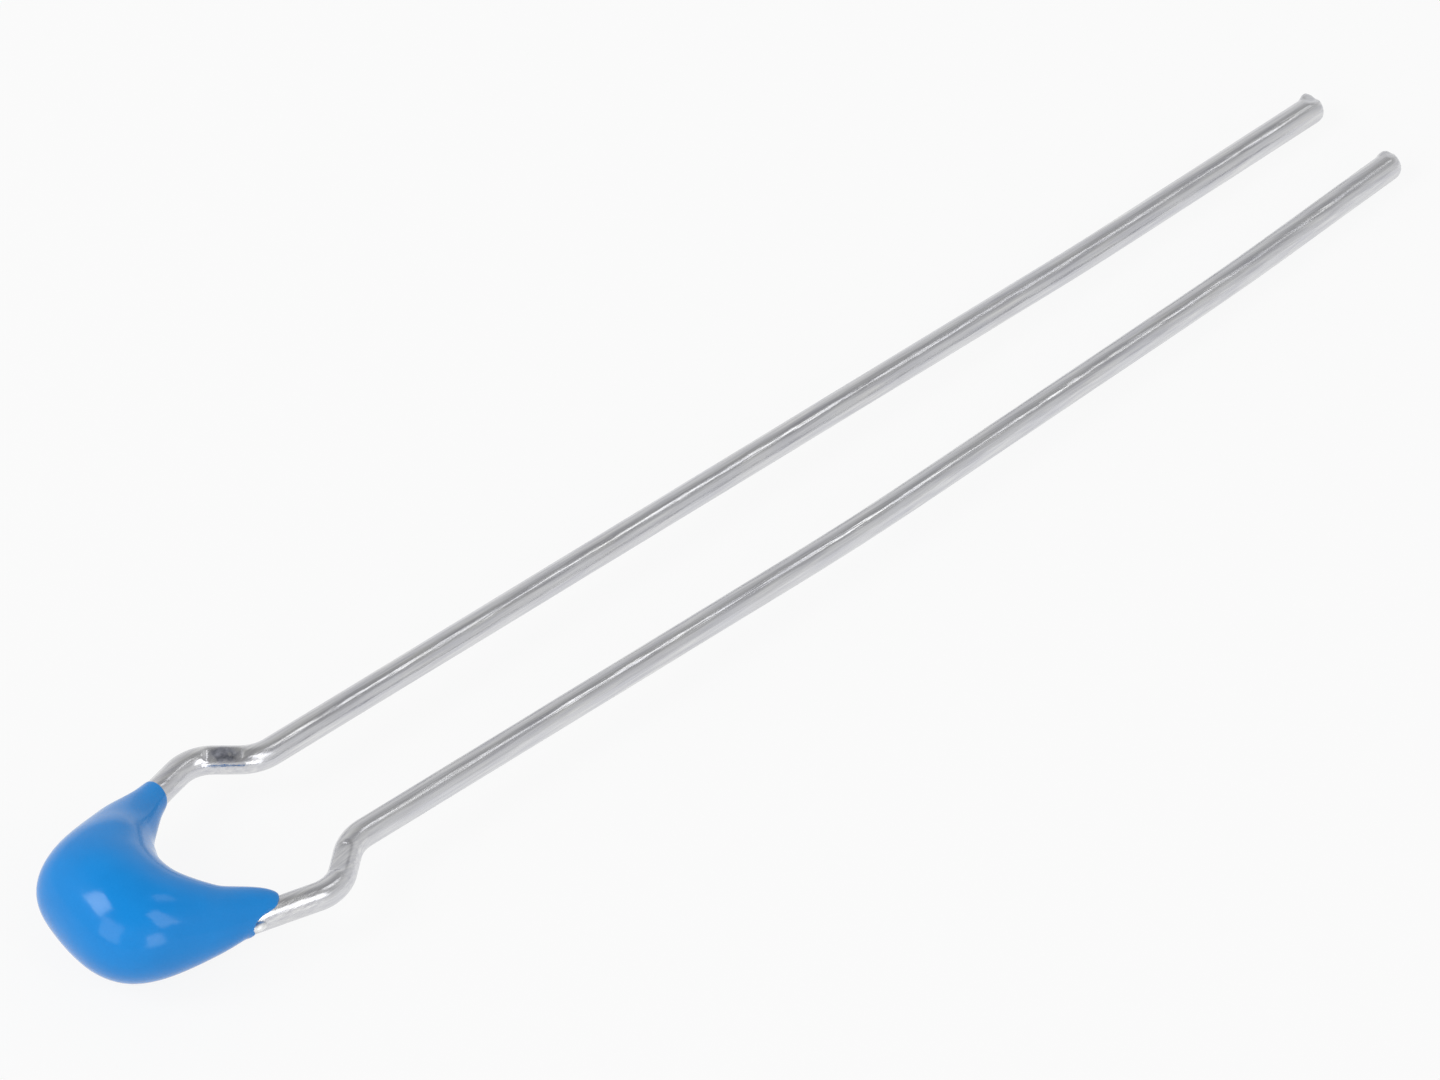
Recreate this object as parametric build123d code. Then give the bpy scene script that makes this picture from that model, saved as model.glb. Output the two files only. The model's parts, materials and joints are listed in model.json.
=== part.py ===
from build123d import *
import os
from math import atan, cos, degrees, radians, sin, tan

# Dipped radial multilayer ceramic capacitor with kinked leads. All sizes are in millimetres.
#
# Every piece is first built in a flat frame: X runs along the leads towards their tips, with X = 0
# at the end of the kinks, Y runs across them with the left lead at +Y, and Z is normal to the plane
# that both leads lie in. At the end the whole part is laid down as it comes to rest on a table, on
# the belly of the coating and the two lead tips, with the origin on the table under its middle.

# ---- Driving dimensions ---------------------------------------------------------------------------

WIRE_DIAMETER = 0.50
LEAD_PITCH = 2.50  # between the leads past the kinks, the pitch of the holes in the board

# Lead path, as distances from the centre line of the part
KINK_LENGTH = 0.885  # along the part, from the outer bend to the inner one
KINK_SPREAD = 1.985  # of the outer bend
LEAD_ROOT_X = -4.20  # end of the wire inside the coating
LEAD_SPLAY_X = -3.80  # where the wire begins to splay away from the chip
ROOT_BEND_RADIUS = 0.80
OUTER_BEND_RADIUS = 0.78
INNER_BEND_RADIUS = 0.85
DRIFT_BEND_RADIUS = 60.0  # the slow bends that handling has left in the long runs
LEFT_RUN = [(18.6, 1.25), (24.22, 1.408)]  # drifts outward near its tip
RIGHT_RUN = [(11.4, 1.25), (20.3, 0.835), (24.34, 0.498)]  # drifts inward from half way
SHEAR_ANGLE = 9.0  # of the cut ends, in degrees
SHEAR_EDGE = 0.05  # that the blade rolls off round the cut
SHEAR_ALLOWANCE = 0.02  # of wire that the shear takes off, past the slant of the cut

# Flats that the forming tool presses into the kinks
PRESS_DEPTH = 0.045
PRESS_LENGTH = 0.52
PRESS_RADIUS = 0.12  # run-out at both ends of a flat
PRESS_ROLL = 25.0  # about the wire, from straight up towards the inside, in degrees

# Ceramic chip, size 0805, lying across the part
CHIP_CENTRE_X = -3.85
CHIP_LIFT = 0.12  # of its middle above the plane of the leads
CHIP_LENGTH = 1.95  # across the part, over the end caps
CHIP_WIDTH = 1.25  # along the part
CHIP_HEIGHT = 0.95
CHIP_EDGE_RADIUS = 0.05
CAP_WALL = 0.040  # on the chip's ends
CAP_SKIN = 0.025  # on its four sides
CAP_BAND = 0.40  # how far a cap wraps round the sides
CAP_EDGE = 0.03  # taken off a cap's end edges

# Interleaved electrodes
ELECTRODES_PER_SIDE = 12
ELECTRODE_THICKNESS = 0.008
ELECTRODE_SPACING = 0.034  # from one electrode to the next, of the other side
ELECTRODE_WIDTH = 0.88
ELECTRODE_END_MARGIN = 0.22  # bare ceramic between an electrode's tip and the far cap

# Solder
SOLDER_FILM = 0.025  # between wire and end cap
SOLDER_FOOT_HIGH = 0.42  # of the fillet on the end cap, above the wire's middle
SOLDER_FOOT_LOW = 0.28  # the same, below it
SOLDER_WRAP = 100.0  # how far round the wire it climbs, in degrees from straight out
SOLDER_OVERHANG = 0.07  # past the end of the wire
SOLDER_HOLLOW = 0.30  # share of the climb at the middle of its hollow arc
BEAD_LENGTH = 0.25  # along the wire
BEAD_THICKNESS = 0.15
BEAD_X = -2.47
BEAD_ROLL = 16.0  # about the wire, from straight out towards the top, in degrees
BEAD_RISE = 0.02  # of its middle above the wire's surface

# Epoxy coating: stations from the middle of the crescent to the collar where a horn begins. Each
# station is an upright section that spans from the outer outline to the inner one. The right side
# is a little slimmer than the left.
COAT_LIFT = 0.15  # of the middle of the coating above the plane of the leads
COAT_MIDDLE = (-5.28, 0.00, -2.99, 0.00, 1.10)  # outer X, outer Y, inner X, inner Y, half thickness
LEFT_STATIONS = [
    (-5.12, 0.88, -2.93, 0.34, 1.06),
    (-4.66, 1.44, -2.86, 0.63, 0.90),
    (-3.82, 1.70, -2.73, 0.82, 0.73),
]
RIGHT_STATIONS = [
    (-5.09, -0.87, -2.93, -0.34, 1.04),
    (-4.62, -1.41, -2.86, -0.63, 0.88),
    (-3.81, -1.68, -2.74, -0.83, 0.71),
]
# Horns: sections of coating square to the wire, out to its edge, where it thins to a skin
LEFT_HORN = [
    # X, cover outside, inside and above, lift
    (-2.68, 0.20, 0.28, 0.25, 0.04),
    (-2.26, 0.08, 0.12, 0.10, 0.00),
    (-1.84, 0.04, 0.04, 0.04, 0.00),
]
RIGHT_HORN = [
    (-2.70, 0.10, 0.31, 0.28, 0.08),
    (-2.28, 0.06, 0.20, 0.15, 0.03),
    (-1.75, 0.05, 0.06, 0.05, 0.00),
]
RIGHT_EDGE_X = -2.25  # where the slanted edge of the right horn crosses the wire's middle
RIGHT_EDGE_SLANT = 33.0  # how far its inner side reaches ahead of its outer one, in degrees
RIGHT_EDGE_LEAN = 47.0  # the same for its top and bottom
NOTCH_RADIUS = 0.16  # of the notch that the epoxy has drawn back from the bead
NOTCH_AHEAD = 0.04  # of its middle, from the bead's towards the tip

# ---- Derived dimensions ---------------------------------------------------------------------------

WIRE_RADIUS = WIRE_DIAMETER / 2
LEAD_OFFSET = CHIP_LENGTH / 2 + SOLDER_FILM + WIRE_RADIUS  # of the wire beside the chip
SPLAY_ANGLE = degrees(atan((KINK_SPREAD - LEAD_OFFSET) / (-KINK_LENGTH - LEAD_SPLAY_X)))
KINK_ANGLE = degrees(atan((KINK_SPREAD - LEAD_PITCH / 2) / KINK_LENGTH))
CERAMIC_LENGTH = CHIP_LENGTH - 2 * CAP_WALL
CERAMIC_WIDTH = CHIP_WIDTH - 2 * CAP_SKIN
CERAMIC_HEIGHT = CHIP_HEIGHT - 2 * CAP_SKIN


def mirrored(piece):
    """The same piece on the other side of the part's centre line."""
    return mirror(piece, about=Plane.XZ)


# ---- Leads ----------------------------------------------------------------------------------------


def lead_path(run):
    """Centre line of the left lead, ending in the points of run."""
    points = [
        (LEAD_ROOT_X, LEAD_OFFSET),
        (LEAD_SPLAY_X, LEAD_OFFSET),
        (-KINK_LENGTH, KINK_SPREAD),
        (0, LEAD_PITCH / 2),
        *run,
    ]
    radii = [ROOT_BEND_RADIUS, OUTER_BEND_RADIUS, INNER_BEND_RADIUS]
    radii += [DRIFT_BEND_RADIUS] * (len(run) - 1)
    return FilletPolyline(*points, radius=radii)


def press_mark():
    """What the forming tool takes off the middle of the left lead's kink."""
    middle = Vector(-KINK_LENGTH / 2, (KINK_SPREAD + LEAD_PITCH / 2) / 2, 0)
    along = Vector(cos(radians(KINK_ANGLE)), -sin(radians(KINK_ANGLE)), 0)
    inward = along.cross(Vector(0, 0, 1))
    facing = Vector(0, 0, 1) * cos(radians(PRESS_ROLL)) + inward * sin(radians(PRESS_ROLL))
    floor = Plane(origin=middle + facing * (WIRE_RADIUS - PRESS_DEPTH), x_dir=along, z_dir=facing)
    tool = Box(PRESS_LENGTH, WIRE_DIAMETER, WIRE_RADIUS, align=(Align.CENTER, Align.CENTER, Align.MIN))
    tool = fillet(tool.edges().filter_by(Axis.Y).group_by(Axis.Z)[0], PRESS_RADIUS)
    return floor * tool


def lead(run):
    """The left lead, ending in the points of run."""
    path = lead_path(run)
    start = Plane(origin=path @ 0, z_dir=path % 0)
    wire = sweep(start * Circle(WIRE_RADIUS), path=path)
    set_back = WIRE_RADIUS * tan(radians(SHEAR_ANGLE)) + SHEAR_ALLOWANCE
    shear = Plane(origin=path @ 1 - path % 1 * set_back, z_dir=path % 1).rotated((0, SHEAR_ANGLE, 0))
    wire = split(wire, bisect_by=shear, keep=Keep.BOTTOM)
    cut_edge = wire.edges().filter_by(GeomType.LINE, reverse=True).sort_by(Axis.X)[-1]
    wire = chamfer(cut_edge, SHEAR_EDGE)
    return wire - press_mark()


# ---- Chip -----------------------------------------------------------------------------------------


def ceramic_block():
    """The ceramic before the electrodes' slots, with its long edges rounded."""
    block = Pos(CHIP_CENTRE_X, 0, CHIP_LIFT) * Box(CERAMIC_WIDTH, CERAMIC_LENGTH, CERAMIC_HEIGHT)
    return fillet(block.edges().filter_by(Axis.Y), CHIP_EDGE_RADIUS)


def electrode(level, side):
    """One electrode, level layers up from the lowest one, that reaches the cap on its side."""
    length = CERAMIC_LENGTH - ELECTRODE_END_MARGIN
    middle_level = ELECTRODES_PER_SIDE - 0.5
    height = CHIP_LIFT + (level - middle_level) * ELECTRODE_SPACING
    plate = Box(ELECTRODE_WIDTH, length, ELECTRODE_THICKNESS)
    return Pos(CHIP_CENTRE_X, side * ELECTRODE_END_MARGIN / 2, height) * plate


def electrodes():
    """All electrodes by name, counted from the lowest on each side."""
    plates = {}
    for number in range(ELECTRODES_PER_SIDE):
        plates[f"electrode_left_{number + 1:02d}"] = electrode(2 * number, 1)
        plates[f"electrode_right_{number + 1:02d}"] = electrode(2 * number + 1, -1)
    return plates


def end_cap():
    """The cap over the chip's left end: a thick end wall and a thin band round the sides."""
    depth = CAP_WALL + CAP_BAND
    block = Box(CHIP_WIDTH, depth, CHIP_HEIGHT, align=(Align.CENTER, Align.MAX, Align.CENTER))
    block = fillet(block.edges().filter_by(Axis.Y), CHIP_EDGE_RADIUS + CAP_SKIN)
    block = chamfer(block.edges().group_by(Axis.Y)[-1], CAP_EDGE)
    return Pos(CHIP_CENTRE_X, CHIP_LENGTH / 2, CHIP_LIFT) * block - ceramic_block()


def solder_fillet():
    """Solder between the left end cap and the wire, hollow where it climbs from one to the other."""
    cap_face = CHIP_LENGTH / 2
    touch_y = LEAD_OFFSET + WIRE_RADIUS * cos(radians(SOLDER_WRAP))
    touch_z = WIRE_RADIUS * sin(radians(SOLDER_WRAP))

    def climb(foot_z, side):
        hollow_y = cap_face + SOLDER_HOLLOW * (touch_y - cap_face)
        hollow_z = side * (touch_z + SOLDER_HOLLOW * (foot_z - touch_z))
        return ThreePointArc((cap_face, side * foot_z), (hollow_y, hollow_z), (touch_y, side * touch_z))

    outline = [
        Line((cap_face, -SOLDER_FOOT_LOW), (cap_face, SOLDER_FOOT_HIGH)),
        climb(SOLDER_FOOT_HIGH, 1),
        Line((touch_y, touch_z), (touch_y, -touch_z)),
        climb(SOLDER_FOOT_LOW, -1),
    ]
    first_x = LEAD_ROOT_X - SOLDER_OVERHANG
    last_x = LEAD_SPLAY_X - ROOT_BEND_RADIUS * tan(radians(SPLAY_ANGLE / 2))
    profile = Plane.YZ.offset(first_x) * make_face(outline)
    return extrude(profile, last_x - first_x)


# ---- Coating --------------------------------------------------------------------------------------


def section(outer, inner, half_thickness):
    """An upright, nearly elliptical section of the coating between two points, in two halves."""
    half_width = (outer - inner).length / 2
    outward = (outer - inner).normalized()
    belly = half_width * 4 / 3  # of the control points, which brings the curve out to the point itself
    high = half_thickness
    outer_half = Bezier((0, -high), (belly, -high), (belly, high), (0, high))
    inner_half = Bezier((0, high), (-belly, high), (-belly, -high), (0, -high))
    plane = Plane(origin=(outer + inner) / 2, x_dir=outward, z_dir=Vector(0, 0, 1).cross(outward))
    return plane * make_face([outer_half, inner_half])


def station(outer_x, outer_y, inner_x, inner_y, half_thickness):
    """A section of the crescent."""
    return section(Vector(outer_x, outer_y, COAT_LIFT), Vector(inner_x, inner_y, COAT_LIFT), half_thickness)


def wire_y(x):
    """Distance of the splaying wire from the centre line."""
    return LEAD_OFFSET + (x - LEAD_SPLAY_X) * tan(radians(SPLAY_ANGLE))


def collar(x, cover_outside, cover_inside, cover_above, lift, side):
    """A section of a horn, square to the wire."""
    splay = radians(SPLAY_ANGLE)
    outward = Vector(-sin(splay), side * cos(splay), 0)
    centre = Vector(x, side * wire_y(x), lift)
    outer = centre + outward * (WIRE_RADIUS + cover_outside)
    inner = centre - outward * (WIRE_RADIUS + cover_inside)
    return section(outer, inner, WIRE_RADIUS + cover_above)


def half_form(stations, horn, past_middle, side):
    """Half of the dip. The loft starts one station past the middle and is trimmed there."""
    sections = [station(*place) for place in (past_middle, COAT_MIDDLE, *stations)]
    sections += [collar(*ring, side) for ring in horn]
    return split(loft(sections), bisect_by=Plane.XZ, keep=Keep.BOTTOM if side > 0 else Keep.TOP)


def right_lead_axes():
    """Directions along the splaying right lead towards its tip, and straight out from it."""
    splay = radians(SPLAY_ANGLE)
    return Vector(cos(splay), -sin(splay), 0), Vector(-sin(splay), -cos(splay), 0)


def coating_form():
    """The outer shape of the dip, from the left horn round to the slanted edge of the right one."""
    left_half = half_form(LEFT_STATIONS, LEFT_HORN, RIGHT_STATIONS[0], 1)
    right_half = half_form(RIGHT_STATIONS, RIGHT_HORN, LEFT_STATIONS[0], -1)
    along, outward = right_lead_axes()
    ahead = along + outward * tan(radians(RIGHT_EDGE_SLANT)) - Vector(0, 0, tan(radians(RIGHT_EDGE_LEAN)))
    edge = Plane(origin=(RIGHT_EDGE_X, -wire_y(RIGHT_EDGE_X), 0), z_dir=ahead)
    notch = bead_plane() * Pos(NOTCH_AHEAD, 0, 0) * Sphere(NOTCH_RADIUS)
    return left_half + split(right_half, bisect_by=edge, keep=Keep.BOTTOM) - notch


def bead_plane():
    """The plane through the bead's middle, with X along the wire."""
    along, outward = right_lead_axes()
    facing = outward * cos(radians(BEAD_ROLL)) + Vector(0, 0, 1) * sin(radians(BEAD_ROLL))
    centre = Vector(BEAD_X, -wire_y(BEAD_X), 0) + facing * (WIRE_RADIUS + BEAD_RISE)
    return Plane(origin=centre, x_dir=along, z_dir=facing)


def solder_bead():
    """A drawn-out bead of solder on the right lead, at the edge of the coating."""
    half = split(Ellipse(BEAD_LENGTH / 2, BEAD_THICKNESS / 2), bisect_by=Plane.XZ, keep=Keep.TOP)
    return bead_plane() * revolve(half, Axis.X)


# ---- Assembly -------------------------------------------------------------------------------------


def flat_pieces():
    """Every piece by name, in the flat frame."""
    lead_left = lead(LEFT_RUN)
    lead_right = mirrored(lead(RIGHT_RUN))
    block = ceramic_block()
    plates = electrodes()
    cap_left = end_cap()
    cap_right = mirrored(cap_left)
    solder_left = solder_fillet() - lead_left - cap_left
    solder_right = mirrored(solder_fillet()) - lead_right - cap_right
    inside = [lead_left, lead_right, block, cap_left, cap_right, solder_left, solder_right]
    coating = coating_form() - inside
    pieces = {
        "coating": coating,
        "lead_left": lead_left,
        "lead_right": lead_right,
        "solder_left": solder_left,
        "solder_right": solder_right,
        "solder_bead": solder_bead() - lead_right - coating,
        "termination_left": cap_left,
        "termination_right": cap_right,
        "ceramic_body": block - list(plates.values()),
    }
    return pieces | plates


def rest_tilt():
    """Angle between the plane of the leads and the table when the part lies down, in degrees."""
    outer_x, _, inner_x, _, half_thickness = COAT_MIDDLE
    reach = RIGHT_RUN[-1][0] - (outer_x + inner_x) / 2
    return degrees(atan((half_thickness - COAT_LIFT - WIRE_RADIUS) / reach))


def at_rest(flat):
    """The pieces as they lie on the table, with the origin under the middle of the part."""
    leaned = {name: Rot(0, rest_tilt(), 0) * piece for name, piece in flat.items()}
    box = Compound([leaned[name] for name in ("coating", "lead_left", "lead_right")]).bounding_box()
    middle = box.center()
    return {name: Pos(-middle.X, -middle.Y, -box.min.Z) * piece for name, piece in leaned.items()}


def main():
    os.makedirs("parts", exist_ok=True)
    for name, piece in at_rest(flat_pieces()).items():
        export_step(piece, f"parts/{name}.step")
    print(f"splay {SPLAY_ANGLE:.2f}, kink {KINK_ANGLE:.2f}, rest tilt {rest_tilt():.2f} degrees")


main()
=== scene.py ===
# %% [markdown]
# # A dipped capacitor with kinked leads
#
# This part is a small ceramic chip with a tinned wire soldered to each end. The chip and the wire
# ends were dipped in blue epoxy, which dried as a glossy, crescent-shaped blob with a horn running
# out along each wire. Past the epoxy the wires splay, kink back in, and run on straight.
#
# The CAD model already has every piece at its real size. Here the four pieces that the eye meets, the
# coating, both leads and a stray bead of solder, are rebuilt with smoother meshes and given finishes.

import bmesh
import bpy
import json
from math import atan2, cos, pi, radians, sin, tan
from mathutils import Matrix, Vector


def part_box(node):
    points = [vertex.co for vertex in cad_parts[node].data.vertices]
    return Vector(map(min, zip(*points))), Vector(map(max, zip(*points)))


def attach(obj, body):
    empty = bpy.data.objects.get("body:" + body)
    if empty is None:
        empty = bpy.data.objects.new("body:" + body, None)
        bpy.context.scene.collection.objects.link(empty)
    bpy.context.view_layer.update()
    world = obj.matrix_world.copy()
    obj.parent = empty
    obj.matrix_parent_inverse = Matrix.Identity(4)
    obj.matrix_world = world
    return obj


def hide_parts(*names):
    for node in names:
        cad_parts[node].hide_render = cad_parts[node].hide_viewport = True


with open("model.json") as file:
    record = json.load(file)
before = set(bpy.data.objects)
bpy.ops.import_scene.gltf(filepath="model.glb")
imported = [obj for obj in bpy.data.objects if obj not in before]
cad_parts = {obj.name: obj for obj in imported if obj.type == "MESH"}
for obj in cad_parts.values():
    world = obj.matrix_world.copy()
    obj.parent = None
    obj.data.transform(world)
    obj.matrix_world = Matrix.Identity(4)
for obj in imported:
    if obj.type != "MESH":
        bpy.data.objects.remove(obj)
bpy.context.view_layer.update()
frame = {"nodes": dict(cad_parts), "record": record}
MM = 0.001
print("CAD pieces:", len(frame["nodes"]))

# %% [markdown]
# ## A flat drawing board
#
# Both leads lie in one plane, and the sizes are easiest to give in it: X along the leads with zero at
# the end of the kinks, Y across them, Z square to the plane. The real part lies on a table, so that
# plane leans by a degree or so. The leaning plane is found from the left lead's mounting point, which
# the record gives as a place and a direction. Everything is drawn flat in millimetres, and one matrix
# then lays it down in its real place.

# %% Find the matrix that lays the flat drawing down
PITCH = 2.50  # between the leads past the kinks
MOUNT_X = 9.0  # of the left lead's mounting point on the flat drawing

mount = next(m for m in frame["record"]["mounts"] if m["name"] == "lead_left")
lean = atan2(-mount["axis"][2], mount["axis"][0])
lay_down = (
    Matrix.Translation(mount["pos_m"])
    @ Matrix.Rotation(lean, 4, "Y")
    @ Matrix.Scale(MM, 4)
    @ Matrix.Translation((-MOUNT_X, -PITCH / 2, 0))
)
print(f"the leads lean {lean / radians(1):.2f} degrees")


# %% [markdown]
# ## From a bmesh to a piece
#
# Every piece ends the same way: stray double points are merged, the faces are made to point outwards,
# the matrix lays the piece down, and a smooth object is made that rides on the CAD body "root". One
# helper does all of it.

# %% A helper that finishes a piece
MERGE_DISTANCE = 0.0005


def finish_piece(name, bm, instead_of):
    """Turns a flat-drawn bmesh into a smooth object that stands for one CAD node."""
    bmesh.ops.remove_doubles(bm, verts=bm.verts, dist=MERGE_DISTANCE)
    bmesh.ops.recalc_face_normals(bm, faces=bm.faces)
    bmesh.ops.transform(bm, matrix=lay_down, verts=bm.verts)
    mesh = bpy.data.meshes.new(name)
    bm.to_mesh(mesh)
    bm.free()
    mesh.shade_smooth()
    piece = bpy.data.objects.new(name, mesh)
    bpy.context.scene.collection.objects.link(piece)
    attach(piece, "root")
    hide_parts(instead_of)
    print(name, len(mesh.polygons), "faces")
    return piece


# %% [markdown]
# ## Bending wire
#
# A machine makes such a lead from straight wire: feed a length, bend it round a pin, feed again. The
# mesh can be made in just that way. A ring of points is the wire's cut end. Extruding the ring and
# moving it feeds wire, and spinning the ring about the pin makes a bend. A curve with a round bevel
# would be shorter to write, but it can't be sheared or pressed afterwards.

# %% Feed and bend a wire
WIRE_RADIUS = 0.25
WIRE_SIDES = 40


class Wire:
    """A wire that grows by feeding and bending, seen from above on the flat drawing."""

    def __init__(self, start):
        self.bm = bmesh.new()
        self.place = Vector((*start, 0))
        self.heading = 0.0
        upright = Matrix.Translation(self.place) @ Matrix.Rotation(pi / 2, 4, "Y")
        bmesh.ops.create_circle(
            self.bm, segments=WIRE_SIDES, radius=WIRE_RADIUS, cap_ends=True, matrix=upright
        )
        self.ring = list(self.bm.edges)

    def ahead(self):
        return Vector((cos(self.heading), sin(self.heading), 0))

    def feed(self, length, steps=1):
        """Pushes out a straight length."""
        for _ in range(steps):
            made = bmesh.ops.extrude_edge_only(self.bm, edges=self.ring)["geom"]
            verts = [g for g in made if isinstance(g, bmesh.types.BMVert)]
            edges = [g for g in made if isinstance(g, bmesh.types.BMEdge)]
            self.ring = [e for e in edges if all(v in verts for v in e.verts)]
            bmesh.ops.translate(self.bm, verts=verts, vec=self.ahead() * (length / steps))
        self.place += self.ahead() * length

    def bend(self, radius, angle, steps):
        """Bends round a pin, to the left for a positive angle."""
        side = 1 if angle > 0 else -1
        to_pin = Vector((-sin(self.heading), cos(self.heading), 0)) * side * radius
        pin = self.place + to_pin
        made = bmesh.ops.spin(
            self.bm, geom=self.ring, cent=pin, axis=(0, 0, 1), angle=angle, steps=steps, use_merge=False
        )
        self.ring = [g for g in made["geom_last"] if isinstance(g, bmesh.types.BMEdge)]
        self.place = pin + Matrix.Rotation(angle, 3, "Z") @ -to_pin
        self.heading += angle


# %% [markdown]
# ## The path of a lead
#
# The corners of the path are where straight runs would meet. A bend of radius r that turns by an angle
# a takes r * tan(a / 2) off both runs at its corner, so each feed is the distance between two corners
# less what the bends at its ends take. The long runs aren't quite straight: handling has drawn them
# through very slow bends, one lead outwards and the other inwards.

# %% Lay out both leads
LEAD_ROOT = (-4.20, 1.25)
SPLAY_CORNER = (-3.80, 1.25)
OUTER_CORNER = (-0.885, 1.985)
INNER_CORNER = (0.0, PITCH / 2)
KINK_RADII = (0.80, 0.78, 0.85)
DRIFT_RADIUS = 60.0
TIP_LENGTH = 0.5
SHORT_RUN = 1.0  # below this a run is fed in fine steps, so that it can be pressed
FINE_STEP = 0.06
BEND_STEP = radians(3)
LEAST_BEND_STEPS = 6
LEFT_RUN = [(18.6, 1.25), (24.22, 1.408)]
RIGHT_RUN = [(11.4, 1.25), (20.3, 0.835), (24.34, 0.498)]


def lead_mesh(run):
    """The left lead along its corners and the points of run, all but its tip."""
    corners = [Vector(c) for c in (LEAD_ROOT, SPLAY_CORNER, OUTER_CORNER, INNER_CORNER, *run)]
    radii = [*KINK_RADII, *[DRIFT_RADIUS] * (len(run) - 1)]
    wire = Wire(LEAD_ROOT)
    taken = 0.0
    for before, corner, after, radius in zip(corners, corners[1:], corners[2:], radii):
        turn = -(corner - before).angle_signed(after - corner)
        takes = radius * tan(abs(turn) / 2)
        length = (corner - before).length - taken - takes
        wire.feed(length, steps=max(1, round(length / FINE_STEP)) if length < SHORT_RUN else 1)
        wire.bend(radius, turn, steps=max(LEAST_BEND_STEPS, round(abs(turn) / BEND_STEP)))
        taken = takes
    wire.feed((corners[-1] - corners[-2]).length - taken - TIP_LENGTH)
    return wire


left_wire = lead_mesh(LEFT_RUN)
right_wire = lead_mesh(RIGHT_RUN)
print("lead ends:", left_wire.place[:], right_wire.place[:])

# %% [markdown]
# ## Cut ends
#
# A cropping blade drags the end of the wire round before it parts, so that the end is domed and
# slightly slanted. It also pinches a small facet into the top of the end, and squeezes a burr out
# beside that. The dome is fed like the rest of the wire, with a smaller ring at each step. Points that
# stick out past the facet's plane are pushed down onto it, and the burr is drawn out of the points
# around one place on the edge.

# %% Close the tips
SHEAR_ANGLE = radians(9)
DOME = [
    # feed, ring size
    (0.05, 0.985),
    (0.04, 0.94),
    (0.03, 0.86),
    (0.022, 0.74),
    (0.014, 0.58),
    (0.006, 0.36),
]
TIP_STEPS = 12
PINCH_SLANT = radians(20)
PINCH_EDGE = 0.9  # of the wire's radius, where the facet's plane leaves the end
BURR_REACH = 0.15
BURR_SET_BACK = 0.1  # of the burr's middle, from the end
TIP_MARGIN = 0.043  # that the slant takes


def wire_side(wire, roll):
    """The direction square to the wire at an angle above the horizontal on its left."""
    return Vector((0, 0, 1)).cross(wire.ahead()) * cos(roll) + Vector((0, 0, sin(roll)))


def close_tip(wire, pinch, pinch_roll, burr, burr_roll):
    """Feeds out the tip and its dome, then slants, pinches and burrs it."""
    ahead = wire.ahead()
    start = wire.place.copy()
    slant = tan(SHEAR_ANGLE)
    wire.feed(TIP_LENGTH - TIP_MARGIN - sum(feed for feed, _ in DOME), steps=TIP_STEPS)
    size_before = 1
    for feed, size in DOME:
        wire.feed(feed)
        ring_verts = list({v for e in wire.ring for v in e.verts})
        to_centre = Matrix.Translation(-wire.place)
        bmesh.ops.scale(wire.bm, vec=[size / size_before] * 3, space=to_centre, verts=ring_verts)
        size_before = size
    bmesh.ops.holes_fill(wire.bm, edges=wire.ring, sides=0)

    end = wire.place
    facet = wire_side(wire, pinch_roll) * cos(PINCH_SLANT) + ahead * sin(PINCH_SLANT)
    edge = end + wire_side(wire, pinch_roll) * WIRE_RADIUS * PINCH_EDGE
    burr_side = wire_side(wire, burr_roll)
    burr_place = end + burr_side * WIRE_RADIUS - ahead * BURR_SET_BACK
    for v in wire.bm.verts:
        way = (v.co - start).dot(ahead)
        if way <= 0:
            continue
        proud = (v.co - edge).dot(facet) + pinch
        near = max(0, 1 - ((v.co - burr_place).length / BURR_REACH) ** 2)
        v.co -= facet * max(0, proud)
        v.co += burr_side * burr * near + ahead * v.co.z * slant * way / TIP_LENGTH


close_tip(left_wire, pinch=0.07, pinch_roll=radians(78), burr=0.06, burr_roll=radians(42))
close_tip(right_wire, pinch=0.04, pinch_roll=radians(100), burr=0.03, burr_roll=radians(138))
print("tips closed")

# %% [markdown]
# ## Pressed flats
#
# The forming tool that kinks the leads grips them on the kink and leaves a small flat facet there. The
# points that stick out past the facet's plane are simply pushed down onto it, with a short run-out at
# both ends. A painted dark reflection is laid on one lead's flat: a darker, mottled patch in the wire's
# colour that stands in for the dim surroundings the flat mirrors. How much of it each point takes goes
# into an attribute, which the wire's finish reads later.

# %% Press the kinks
PRESS_DEPTH = 0.045
PRESS_LENGTH = 0.52
PRESS_RUN_OUT = 0.10
PRESS_ROLL = radians(16)
PAINTED_REFLECTION_LENGTH = 0.72
PAINTED_REFLECTION_WIDTH = 0.40


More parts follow.
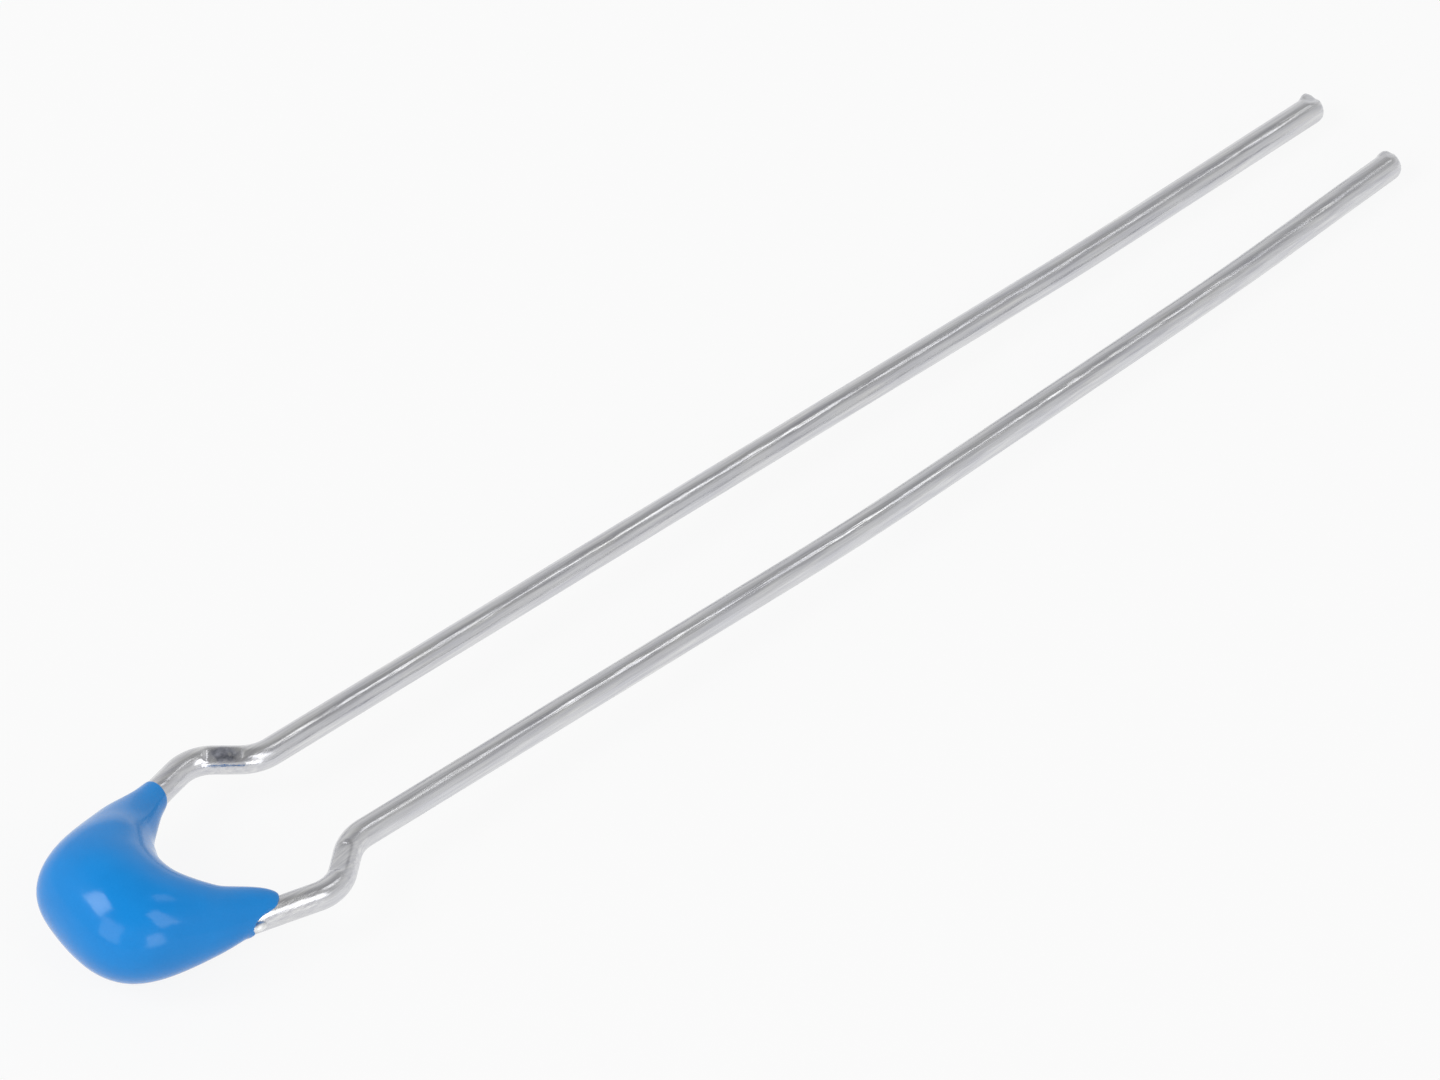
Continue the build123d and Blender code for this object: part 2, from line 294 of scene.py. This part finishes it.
def press_kink(wire, painted_dark_reflection):
    """Flattens the wire's upper inner side in the middle of the kink, and lays a share of painted dark
    reflection on it.
    """
    outer, inner = Vector((*OUTER_CORNER, 0)), Vector((*INNER_CORNER, 0))
    middle, along = (outer + inner) / 2, (inner - outer).normalized()
    inward = along.cross(Vector((0, 0, 1)))
    facing = Vector((0, 0, 1)) * cos(PRESS_ROLL) + inward * sin(PRESS_ROLL)
    # Painted dark reflection: each point near the flat's middle gets a share of darkening, kept in an
    # attribute.
    painted_reflection_mask = wire.bm.verts.layers.float.new("painted_reflection_mask")
    pressed = 0
    for v in wire.bm.verts:
        offset = v.co - middle
        if offset.length > 1 or offset.dot(facing) < 0:
            continue
        way, off_side = offset.dot(along), offset.dot(along.cross(facing))
        v[painted_reflection_mask] = painted_dark_reflection * max(0, 1 - (2 * way / PAINTED_REFLECTION_LENGTH) ** 2 - (2 * off_side / PAINTED_REFLECTION_WIDTH) ** 2)
        past_end = max(0.0, abs(way) - PRESS_LENGTH / 2)
        if past_end > PRESS_RUN_OUT:
            continue
        floor = WIRE_RADIUS - PRESS_DEPTH * (1 - (past_end / PRESS_RUN_OUT) ** 2)
        proud = offset.dot(facing) - floor
        if proud > 0:
            v.co -= facing * proud
            pressed += 1
    return pressed


# Only the far kink, on the left lead, is given the painted dark reflection.
print("points pressed:", press_kink(left_wire, painted_dark_reflection=1.0), press_kink(right_wire, painted_dark_reflection=0.0))

# %% [markdown]
# ## The right lead
#
# Both wires were drawn as left leads. The right one is turned over by mirroring its points in the
# middle plane, which also turns its faces inside out, so they are reversed.

# %% Mirror the right lead and finish both
bmesh.ops.scale(right_wire.bm, vec=(1, -1, 1), verts=right_wire.bm.verts)
bmesh.ops.reverse_faces(right_wire.bm, faces=right_wire.bm.faces)
lead_left = finish_piece("tinned_lead_left", left_wire.bm, "lead_left")
lead_right = finish_piece("tinned_lead_right", right_wire.bm, "lead_right")

# %% [markdown]
# ## The epoxy dip
#
# The coating is one smooth run from the tip of one horn, round the back, to the tip of the other. It
# is made like a sausage: rings of points are set up square to that run, neighbouring rings are bridged
# with faces, and subdivision rounds the result. Each ring is given by the point where it touches the
# outer outline, the point where it touches the inner one, and how high and how low it reaches.

# %% Set up the rings and bridge them
SPLAY = atan2(OUTER_CORNER[1] - SPLAY_CORNER[1], OUTER_CORNER[0] - SPLAY_CORNER[0])
RING_SIDES = 24


def wire_y(x):
    return SPLAY_CORNER[1] + (x - SPLAY_CORNER[0]) * tan(SPLAY)


def splay_axes(side):
    """Directions along the splaying lead on one side towards its tip, and straight out from it."""
    return Vector((cos(SPLAY), side * sin(SPLAY), 0)), Vector((-sin(SPLAY), side * cos(SPLAY), 0))


def ring(bm, outer, inner, top, bottom):
    """An upright oval of points through outer and inner, from bottom to top."""
    outer, inner = Vector((*outer[:2], 0)), Vector((*inner[:2], 0))
    outward = (outer - inner).normalized()
    turn = Matrix((outward, Vector((0, 0, 1)), outward.cross(Vector((0, 0, 1))))).transposed().to_4x4()
    size = Matrix.Diagonal(((outer - inner).length / 2, (top - bottom) / 2, 1, 1))
    centre = (outer + inner) / 2 + Vector((0, 0, (top + bottom) / 2))
    place = Matrix.Translation(centre) @ turn @ size
    return bmesh.ops.create_circle(bm, segments=RING_SIDES, radius=1, matrix=place)["verts"]


def collar(bm, side, x, slant, lean, outside, inside, above, below):
    """A ring round the wire at x that stands off it by so much each way.

    The slant sets its inner side ahead of its outer one, and the lean its top ahead of its bottom.
    """
    ahead, outward = splay_axes(side)
    middle = Vector((x, side * wire_y(x), 0))
    outer, inner = middle + outward * (WIRE_RADIUS + outside), middle - outward * (WIRE_RADIUS + inside)
    verts = ring(bm, outer, inner, WIRE_RADIUS + above, -WIRE_RADIUS - below)
    for v in verts:
        v.co += ahead * (v.co.z * tan(radians(lean)) - (v.co - middle).dot(outward) * tan(radians(slant)))
    return verts


BODY_RINGS = [
    # outer, inner, top, bottom
    ((-3.33, 1.815), (-2.62, 0.85), 0.725, -0.50),
    ((-3.82, 1.70), (-2.68, 0.72), 0.885, -0.61),
    ((-4.30, 1.58), (-2.75, 0.60), 1.02, -0.72),
    ((-4.74, 1.41), (-2.84, 0.48), 1.11, -0.82),
    ((-5.07, 1.11), (-2.92, 0.33), 1.19, -0.89),
    ((-5.20, 0.60), (-2.98, 0.17), 1.25, -0.94),
    ((-5.27, 0.00), (-3.01, 0.00), 1.27, -0.98),
    ((-5.25, -0.57), (-3.00, -0.16), 1.25, -0.96),
    ((-5.07, -1.02), (-2.97, -0.31), 1.19, -0.89),
    ((-4.79, -1.33), (-2.91, -0.45), 1.12, -0.79),
    ((-4.41, -1.53), (-2.84, -0.57), 1.03, -0.70),
    ((-4.00, -1.65), (-2.76, -0.69), 0.93, -0.62),
    ((-3.58, -1.75), (-2.68, -0.79), 0.82, -0.52),
    ((-3.20, -1.82), (-2.57, -0.88), 0.69, -0.43),
]
LEFT_HORN = [
    # X, slant, lean, cover outside, inside, above, below
    (-1.875, -3, 10, -0.02, -0.02, -0.02, -0.02),
    (-1.865, -3, 10, 0.010, 0.010, 0.010, 0.010),
    (-1.88, -3, 10, 0.022, 0.032, 0.028, 0.025),
    (-1.92, -3, 9, 0.028, 0.050, 0.040, 0.032),
    (-2.00, -3, 8, 0.032, 0.075, 0.060, 0.038),
    (-2.18, 0, 5, 0.045, 0.13, 0.11, 0.055),
    (-2.42, 6, 2, 0.11, 0.24, 0.195, 0.11),
    (-2.72, 14, 0, 0.19, 0.38, 0.325, 0.18),
]
RIGHT_HORN = [
    (-2.26, 33, 47, -0.02, -0.02, -0.02, -0.02),
    (-2.25, 33, 47, 0.010, 0.012, 0.012, 0.010),
    (-2.26, 33, 47, 0.025, 0.038, 0.034, 0.025),
    (-2.30, 32, 45, 0.040, 0.080, 0.070, 0.040),
    (-2.39, 29, 40, 0.050, 0.145, 0.125, 0.050),
    (-2.52, 23, 32, 0.060, 0.24, 0.195, 0.065),
    (-2.72, 13, 18, 0.10, 0.36, 0.30, 0.12),
]
SADDLE_PASSES = 5  # of smoothing where the left horn meets the body
SADDLE_X = (-3.1, -2.15)
SADDLE_Y = (0.5, 1.75)
SADDLE_BOTTOM = -0.3
dip = bmesh.new()
rings = [collar(dip, 1, *place) for place in LEFT_HORN]
rings += [ring(dip, *place) for place in BODY_RINGS]
right_rings = [collar(dip, -1, *place) for place in RIGHT_HORN]
rings += reversed(right_rings)

# %% [markdown]
# The right horn's edge has drawn back from the bead of solder that sits there. Ring points within the
# notch are squeezed back towards its rear wall, and keep a little of their spacing.

# %% Draw the right edge back from the bead
BEAD_X = -2.45
BEAD_ROLL = radians(16)
BEAD_LENGTH = 0.29
BEAD_THICKNESS = 0.16
NOTCH_RADIUS = 0.17
NOTCH_AHEAD = 0.03
SQUEEZE = 0.12

ahead, outward = splay_axes(-1)
facing = outward * cos(BEAD_ROLL) + Vector((0, 0, sin(BEAD_ROLL)))
bead_place = Vector((BEAD_X, -wire_y(BEAD_X), 0)) + facing * WIRE_RADIUS
for v in [v for verts in right_rings for v in verts]:
    offset = v.co - bead_place - ahead * NOTCH_AHEAD
    along = offset.dot(ahead)
    across = (offset - ahead * along).length
    if across < NOTCH_RADIUS:
        wall = -((NOTCH_RADIUS**2 - across**2) ** 0.5)
        v.co -= ahead * max(0, along - wall) * (1 - SQUEEZE)

for near, far in zip(rings, rings[1:]):
    edges = [e for e in dip.edges if any(all(v in loop for v in e.verts) for loop in (near, far))]
    bmesh.ops.bridge_loops(dip, edges=edges)
bmesh.ops.holes_fill(dip, edges=dip.edges, sides=0)
saddle = [v for v in dip.verts if SADDLE_X[0] < v.co.x < SADDLE_X[1] and v.co.z > SADDLE_BOTTOM]
saddle = [v for v in saddle if SADDLE_Y[0] < v.co.y < SADDLE_Y[1]]
for _ in range(SADDLE_PASSES):
    bmesh.ops.smooth_vert(dip, verts=saddle, factor=0.5, use_axis_x=True, use_axis_y=True, use_axis_z=True)
print("rings:", len(rings))

# %% Round the dip and finish it
coating = finish_piece("epoxy_coating", dip, "coating")
rounding = coating.modifiers.new("rounding", "SUBSURF")
rounding.levels = rounding.render_levels = 3

# %% [markdown]
# ## The stray bead of solder
#
# Where the right lead leaves the epoxy, a bead of solder has stayed on the wire. Molten solder pulls
# itself into a drop, but where it wets the wire it spreads into a thin foot. The bead starts as a round
# ball, is stretched along the wire, and its lower half is flared out to make that foot.

# %% Make the bead
BEAD_RISE = 0.02  # of its middle above the wire's surface
FOOT_TOP = 0.3  # height on the unit ball below which the foot flares
FOOT_FLARE = 0.35
FOOT_DROOP = 0.12  # of both ends, along the wire

bead = bmesh.new()
bmesh.ops.create_icosphere(bead, subdivisions=4, radius=1)
for v in bead.verts:
    sunk = max(0, FOOT_TOP - v.co.z)
    v.co.x *= 1 + FOOT_FLARE * sunk**2
    v.co.y *= 1 + FOOT_FLARE * sunk**2
    v.co.z -= FOOT_DROOP * v.co.x**2
turn = Matrix((ahead, facing.cross(ahead), facing)).transposed().to_4x4()
size = Matrix.Diagonal((BEAD_LENGTH / 2, BEAD_THICKNESS / 2, BEAD_THICKNESS / 2, 1))
place = Matrix.Translation(bead_place + facing * BEAD_RISE) @ turn @ size
bmesh.ops.transform(bead, matrix=place, verts=bead.verts)
bead = finish_piece("solder_bead_soft", bead, "solder_bead")

# %% [markdown]
# ## Finishes
#
# Each finish is made from noise, so it needs no image. Two effects come back in nearly all of them:
# a tone that drifts from place to place, and a fine unevenness of the skin. Both are node groups with
# named inputs, so a finish only has to say how large and how strong it wants them. The pieces are
# measured in metres, so a pattern with features of a tenth of a millimetre needs a scale of thousands.

# %% Helpers for node trees
def new_material(name):
    """A material with a Principled shader; gives the material and its node tree."""
    material = bpy.data.materials.new(name)
    material.use_nodes = True
    return material, material.node_tree


def dress(piece, material):
    """Puts a material in a piece's slots; a new piece is given one first."""
    if not piece.material_slots:
        piece.data.materials.append(None)
    for slot in piece.material_slots:
        slot.material = material


def add_node(tree, kind, inputs=None, **settings):
    """Adds a node, sets its fields, and fills or links its inputs."""
    node = tree.nodes.new(kind)
    for field, value in settings.items():
        setattr(node, field, value)
    for socket, value in (inputs or {}).items():
        if isinstance(value, bpy.types.NodeSocket):
            tree.links.new(value, node.inputs[socket])
        else:
            node.inputs[socket].default_value = value
    return node


def feature_scale(millimetres):
    """The noise scale that gives features of this size."""
    return 1 / (millimetres * MM)


# %% [markdown]
# The first group, uneven_tone, reads noise at a given scale and spreads it between two numbers. The
# second, uneven_skin, adds a coarse and a fine noise into one height for a Bump node.

# %% Make the two node groups
def new_group(name, inputs, output):
    """A shader node group with float inputs, a vector called Place, and one float output."""
    group = bpy.data.node_groups.new(name, "ShaderNodeTree")
    group.interface.new_socket("Place", in_out="INPUT", socket_type="NodeSocketVector")
    for socket, value in inputs.items():
        made = group.interface.new_socket(socket, in_out="INPUT", socket_type="NodeSocketFloat")
        made.default_value = value
    group.interface.new_socket(output, in_out="OUTPUT", socket_type="NodeSocketFloat")
    return group, group.nodes.new("NodeGroupInput").outputs, group.nodes.new("NodeGroupOutput").inputs


uneven_tone, given, result = new_group("uneven_tone", {"Scale": 1000, "Low": 0, "High": 1}, "Tone")
noise = add_node(
    uneven_tone,
    "ShaderNodeTexNoise",
    {"Vector": given["Place"], "Scale": given["Scale"], "Detail": 4.0, "Roughness": 0.6},
)
spread = add_node(
    uneven_tone,
    "ShaderNodeMapRange",
    {
        "Value": noise.outputs["Fac"],
        "From Min": 0.3,
        "From Max": 0.7,
        "To Min": given["Low"],
        "To Max": given["High"],
    },
)
uneven_tone.links.new(spread.outputs["Result"], result["Tone"])

uneven_skin, given, result = new_group(
    "uneven_skin", {"Coarse Scale": 1000, "Fine Scale": 8000, "Fine Share": 0.3}, "Height"
)
coarse = add_node(
    uneven_skin, "ShaderNodeTexNoise", {"Vector": given["Place"], "Scale": given["Coarse Scale"]}
)
fine = add_node(uneven_skin, "ShaderNodeTexNoise", {"Vector": given["Place"], "Scale": given["Fine Scale"]})
both = add_node(
    uneven_skin,
    "ShaderNodeMath",
    {0: fine.outputs["Fac"], 1: given["Fine Share"], 2: coarse.outputs["Fac"]},
    operation="MULTIPLY_ADD",
)
uneven_skin.links.new(both.outputs["Value"], result["Height"])
print("groups:", uneven_tone.name, uneven_skin.name)


def tone(tree, place, size, low, high):
    """Places uneven_tone in a material; size is that of its features in millimetres."""
    inputs = {"Place": place, "Scale": feature_scale(size), "Low": low, "High": high}
    return add_node(tree, "ShaderNodeGroup", inputs, node_tree=uneven_tone).outputs["Tone"]


def skin(tree, place, coarse_size, fine_size, fine_share, depth):
    """Places uneven_skin in a material and bumps with it; gives the bent normal."""
    inputs = {
        "Place": place,
        "Coarse Scale": feature_scale(coarse_size),
        "Fine Scale": feature_scale(fine_size),
        "Fine Share": fine_share,
    }
    height = add_node(tree, "ShaderNodeGroup", inputs, node_tree=uneven_skin).outputs["Height"]
    bump = {"Height": height, "Distance": depth * MM, "Strength": 1.0}
    return add_node(tree, "ShaderNodeBump", bump).outputs["Normal"]


def blend(tree, share, first, second):
    """Mixes two colours; either may be a colour or a link."""
    mix = add_node(tree, "ShaderNodeMix", {0: share, 6: first, 7: second}, data_type="RGBA")
    return mix.outputs[2]


def finish(tree, **links):
    """Links the Principled shader's inputs; a space in a socket's name is written as _."""
    shader = tree.nodes["Principled BSDF"]
    for socket, value in links.items():
        target = shader.inputs[socket.replace("_", " ")]
        if isinstance(value, bpy.types.NodeSocket):
            tree.links.new(value, target)
        else:
            target.default_value = value


# %% [markdown]
# ### Blue epoxy
#
# The dip is a glossy, lightly filled epoxy. Its blue drifts a little from place to place, fine filler
# shows as specks, and its skin is never quite flat, so that reflections have soft, wavering edges.

# %% Dress the coating
def epoxy_finish():
    material, tree = new_material("blue_epoxy")
    place = add_node(tree, "ShaderNodeTexCoord").outputs["Object"]
    drift = tone(tree, place, 1.1, 0.0, 1.0)
    blue = blend(tree, drift, (0.0, 0.216, 0.63, 1), (0.001, 0.242, 0.69, 1))
    specks = tone(tree, place, 0.035, 0.0, 0.22)
    blue = blend(tree, specks, blue, (0.012, 0.29, 0.76, 1))
    finish(
        tree,
        Base_Color=blue,
        Roughness=tone(tree, place, 0.4, 0.12, 0.19),
        IOR=1.40,
        Normal=skin(tree, place, 0.75, 0.12, 0.12, 0.012),
    )
    return material


dress(coating, epoxy_finish())
print("coating dressed")

# %% [markdown]
# ### Tinned wire
#
# Tin plating on drawn wire is bright but not mirror-smooth: drawing leaves streaks along it, and
# handling leaves dull patches. The streaks are noise that is stretched along X by a Mapping node, since
# the wires run along X for most of their length. On the pressed flat of one kink, the attribute from
# the pressing times a noise gives a painted dark reflection: a darker, duller patch with a ragged edge.

# %% Dress the leads
STREAK_STRETCH = 0.045


def wire_finish():
    material, tree = new_material("tinned_wire")
    place = add_node(tree, "ShaderNodeTexCoord").outputs["Object"]
    stretch = {"Vector": place, "Scale": (STREAK_STRETCH, 1, 1)}
    along = add_node(tree, "ShaderNodeMapping", stretch).outputs["Vector"]
    painted_reflection_mask = add_node(tree, "ShaderNodeAttribute", attribute_name="painted_reflection_mask").outputs["Fac"]

    streaks = tone(tree, along, 0.06, 0.0, 1.0)
    tin = blend(tree, streaks, (0.53, 0.53, 0.57, 1), (0.77, 0.77, 0.76, 1))
    patches = tone(tree, place, 0.9, 0.0, 0.5)
    tin = blend(tree, patches, tin, (0.66, 0.67, 0.71, 1))
    ragged = tone(tree, place, 0.2, 0.35, 2.0)
    ragged = add_node(tree, "ShaderNodeMath", {0: painted_reflection_mask, 1: ragged}, operation="MULTIPLY")
    edge = {"Value": ragged.outputs["Value"], "From Min": 0.25, "From Max": 0.8}
    painted_reflection_mask = add_node(tree, "ShaderNodeMapRange", edge).outputs["Result"]
    # Painted dark reflection: a mottled dark grey that the pressed flat takes in place of the tin's colour.
    painted_dark_reflection = blend(tree, tone(tree, place, 0.14, 0.0, 1.0), (0.13, 0.135, 0.16, 1), (0.46, 0.47, 0.53, 1))
    tin = blend(tree, painted_reflection_mask, tin, painted_dark_reflection)

    dull = tone(tree, along, 0.16, 0.15, 0.31)
    dull = add_node(tree, "ShaderNodeMath", {0: painted_reflection_mask, 1: 0.2, 2: dull}, operation="MULTIPLY_ADD")
    dull = dull.outputs["Value"]
    finish(
        tree,
        Base_Color=tin,
        Metallic=1.0,
        Roughness=dull,
        Normal=skin(tree, along, 0.09, 0.03, 0.5, 0.006),
    )
    return material


wire_metal = wire_finish()
dress(lead_left, wire_metal)
dress(lead_right, wire_metal)
print("leads dressed")

# %% [markdown]
# ### Solder
#
# Solder freezes in small crystals, so it is brighter than the wire but frosted, and each crystal
# catches the light at its own angle. A Voronoi pattern stands for the crystals.

# %% Dress the bead and the joints inside
def solder_finish():
    material, tree = new_material("solder")
    place = add_node(tree, "ShaderNodeTexCoord").outputs["Object"]
    crystals = add_node(tree, "ShaderNodeTexVoronoi", {"Vector": place, "Scale": feature_scale(0.016)})
    frost = add_node(tree, "ShaderNodeSeparateColor", {"Color": crystals.outputs["Color"]}).outputs["Red"]
    bright = blend(tree, frost, (0.78, 0.79, 0.80, 1), (0.90, 0.90, 0.89, 1))
    sheen = {"Value": frost, "To Min": 0.38, "To Max": 0.52}
    rough = add_node(tree, "ShaderNodeMapRange", sheen).outputs["Result"]
    bump = add_node(
        tree,
        "ShaderNodeBump",
        {"Height": crystals.outputs["Distance"], "Distance": 0.0015 * MM, "Strength": 1.0},
    )
    finish(tree, Base_Color=bright, Metallic=1.0, Roughness=rough, Normal=bump.outputs["Normal"])
    return material


solder = solder_finish()
dress(bead, solder)

# %% [markdown]
# ### The chip inside
#
# The chip can't be seen until the coating is hidden, and then each of its layers shows its own finish:
# fired silver on the ends, a matt tan ceramic that is finely speckled, and thin electrodes of a dull,
# warm grey metal.

# %% Dress the chip's own nodes
def grainy_finish(name, dark, light, grain, rough, metallic, depth):
    """A matt finish whose colour and skin share a fine grain, its size given in millimetres."""
    material, tree = new_material(name)
    place = add_node(tree, "ShaderNodeTexCoord").outputs["Object"]
    finish(
        tree,
        Base_Color=blend(tree, tone(tree, place, grain, 0.0, 1.0), dark, light),
        Metallic=metallic,
        Roughness=tone(tree, place, grain * 3, *rough),
        Normal=skin(tree, place, grain * 2, grain, 0.5, depth),
    )
    return material


silver = grainy_finish(
    "fired_silver", (0.48, 0.47, 0.45, 1), (0.68, 0.67, 0.63, 1), 0.03, (0.42, 0.60), 1.0, 0.005
)
ceramic = grainy_finish(
    "ceramic", (0.24, 0.15, 0.085, 1), (0.33, 0.21, 0.12, 1), 0.02, (0.55, 0.75), 0.0, 0.003
)
electrode = grainy_finish(
    "electrode", (0.26, 0.24, 0.21, 1), (0.38, 0.36, 0.32, 1), 0.02, (0.35, 0.50), 1.0, 0.002
)
inside = {"solder": solder, "termination": silver, "ceramic": ceramic, "electrode": electrode}
dressed = 0
for name in frame["nodes"]:
    kind = name.split("_")[0]
    if kind in inside:
        dress(bpy.data.objects[name], inside[kind])
        dressed += 1
print("nodes dressed:", dressed)

# %% [markdown]
# ## Floor
#
# The part lies on a white table. A lit white floor would either be grey or need so much light that the
# part burns out, so what the camera and the metal see of it is mostly a plain white glow, with just
# enough of the lit floor left in it to keep the part's shadow.

# %% Lay the floor
FLOOR_REACH = 2.0
GLOW_SHARE = 0.90

floor_mesh = bmesh.new()
bmesh.ops.create_grid(floor_mesh, x_segments=1, y_segments=1, size=FLOOR_REACH)
floor_data = bpy.data.meshes.new("floor")
floor_mesh.to_mesh(floor_data)
floor_mesh.free()
floor = bpy.data.objects.new("floor", floor_data)
bpy.context.scene.collection.objects.link(floor)

white, tree = new_material("white_floor")
finish(tree, Base_Color=(0.62, 0.62, 0.62, 1), Roughness=0.8)
rays = add_node(tree, "ShaderNodeLightPath").outputs
both_rays = {0: rays["Is Camera Ray"], 1: rays["Is Glossy Ray"]}
seen = add_node(tree, "ShaderNodeMath", both_rays, operation="MAXIMUM")
glowing = {0: seen.outputs["Value"], 1: GLOW_SHARE}
share = add_node(tree, "ShaderNodeMath", glowing, operation="MULTIPLY")
glow = add_node(tree, "ShaderNodeEmission", {"Color": (1, 1, 1, 1), "Strength": 1.0})
mix = add_node(
    tree,
    "ShaderNodeMixShader",
    {
        0: share.outputs["Value"],
        1: tree.nodes["Principled BSDF"].outputs["BSDF"],
        2: glow.outputs["Emission"],
    },
)
tree.links.new(mix.outputs["Shader"], tree.nodes["Material Output"].inputs["Surface"])
dress(floor, white)

# %% [markdown]
# ## Light
#
# The room is lighter near the horizon than overhead, which gives every wire light edges and a darker
# band on top. Two windows, each of an upper and a lower pane, light the part from the left and from
# the front, and show as the soft patches on the coating. A lamp overhead, beyond the part, draws the
# thin bright line along each wire.

# %% Light the room
HORIZON_LEVEL = 0.76
OVERHEAD_LEVEL = 0.38

world = bpy.data.worlds.new("studio")
bpy.context.scene.world = world
world.use_nodes = True
tree = world.node_tree
direction = add_node(tree, "ShaderNodeTexCoord").outputs["Generated"]
height = add_node(tree, "ShaderNodeSeparateXYZ", {"Vector": direction}).outputs["Z"]
level = add_node(
    tree,
    "ShaderNodeMapRange",
    {
        "Value": height,
        "From Min": 0.45,
        "From Max": 0.92,
        "To Min": HORIZON_LEVEL,
        "To Max": OVERHEAD_LEVEL,
    },
    interpolation_type="SMOOTHSTEP",
)
tree.links.new(level.outputs["Result"], tree.nodes["Background"].inputs["Strength"])
tree.nodes["Background"].inputs["Color"].default_value = (1, 1, 1, 1)

# %% Hang the windows
PANE_DISTANCE = 0.25
low, high = (Vector(corner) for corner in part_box("coating"))
middle = (low + high) / 2


def pane(name, azimuth, elevation, width, height, tilt, brightness):
    """A bright pane seen from the coating at an azimuth and elevation in degrees.

    Width and height are the angles it covers, and tilt turns it in its own plane. A lamp's power is
    its brightness times its area times pi.
    """
    azimuth, elevation = radians(azimuth), radians(elevation)
    towards = Vector((cos(azimuth) * cos(elevation), sin(azimuth) * cos(elevation), sin(elevation)))
    light = bpy.data.lights.new(name, "AREA")
    light.shape = "RECTANGLE"
    light.size = 2 * PANE_DISTANCE * tan(radians(width) / 2)
    light.size_y = 2 * PANE_DISTANCE * tan(radians(height) / 2)
    light.energy = brightness * light.size * light.size_y * pi
    lamp = bpy.data.objects.new(name, light)
    bpy.context.scene.collection.objects.link(lamp)
    facing = (-towards).to_track_quat("-Z", "Y").to_matrix() @ Matrix.Rotation(radians(tilt), 3, "Z")
    lamp.matrix_world = Matrix.Translation(middle + towards * PANE_DISTANCE) @ facing.to_4x4()
    print(name, round(light.energy, 3), "W")


pane("left_window_upper", 151, 45, 23, 28, 0, 4.8)
pane("left_window_lower", 188, 25, 30, 36, 0, 1.5)
pane("front_window_upper", -82, 48, 17, 34, 0, 2.1)
pane("front_window_lower", -105, 11, 20, 26, 0, 2.4)
pane("overhead_lamp", -13, 60, 16, 10, -74, 1.45)

# %% [markdown]
# ## Camera
#
# The camera looks down along the part from behind the coating, on the right lead's side, through a
# long lens, so that the two wires stay all but parallel.

# %% Set up the camera
ELEVATION = radians(46.2)
SWING = radians(40.22)
DISTANCE = 500.0
AIM = (9.41, 0.117, 0)
FRAME_WIDTH = 24.83
SENSOR_WIDTH = 36

back = Vector((-cos(ELEVATION) * sin(SWING), -cos(ELEVATION) * cos(SWING), sin(ELEVATION)))
right = Vector((cos(SWING), -sin(SWING), 0))
up = back.cross(right)
turn = lay_down.to_3x3().normalized()
camera_data = bpy.data.cameras.new("camera")
camera_data.sensor_width = SENSOR_WIDTH
camera_data.lens = SENSOR_WIDTH * DISTANCE / FRAME_WIDTH
camera_data.clip_end = 10
camera = bpy.data.objects.new("camera", camera_data)
bpy.context.scene.collection.objects.link(camera)
axes = Matrix((turn @ right, turn @ up, turn @ back)).transposed().to_4x4()
camera.matrix_world = Matrix.Translation(lay_down @ Vector(AIM) + turn @ back * DISTANCE * MM) @ axes
bpy.context.scene.camera = camera
bpy.context.scene.view_settings.view_transform = "Standard"
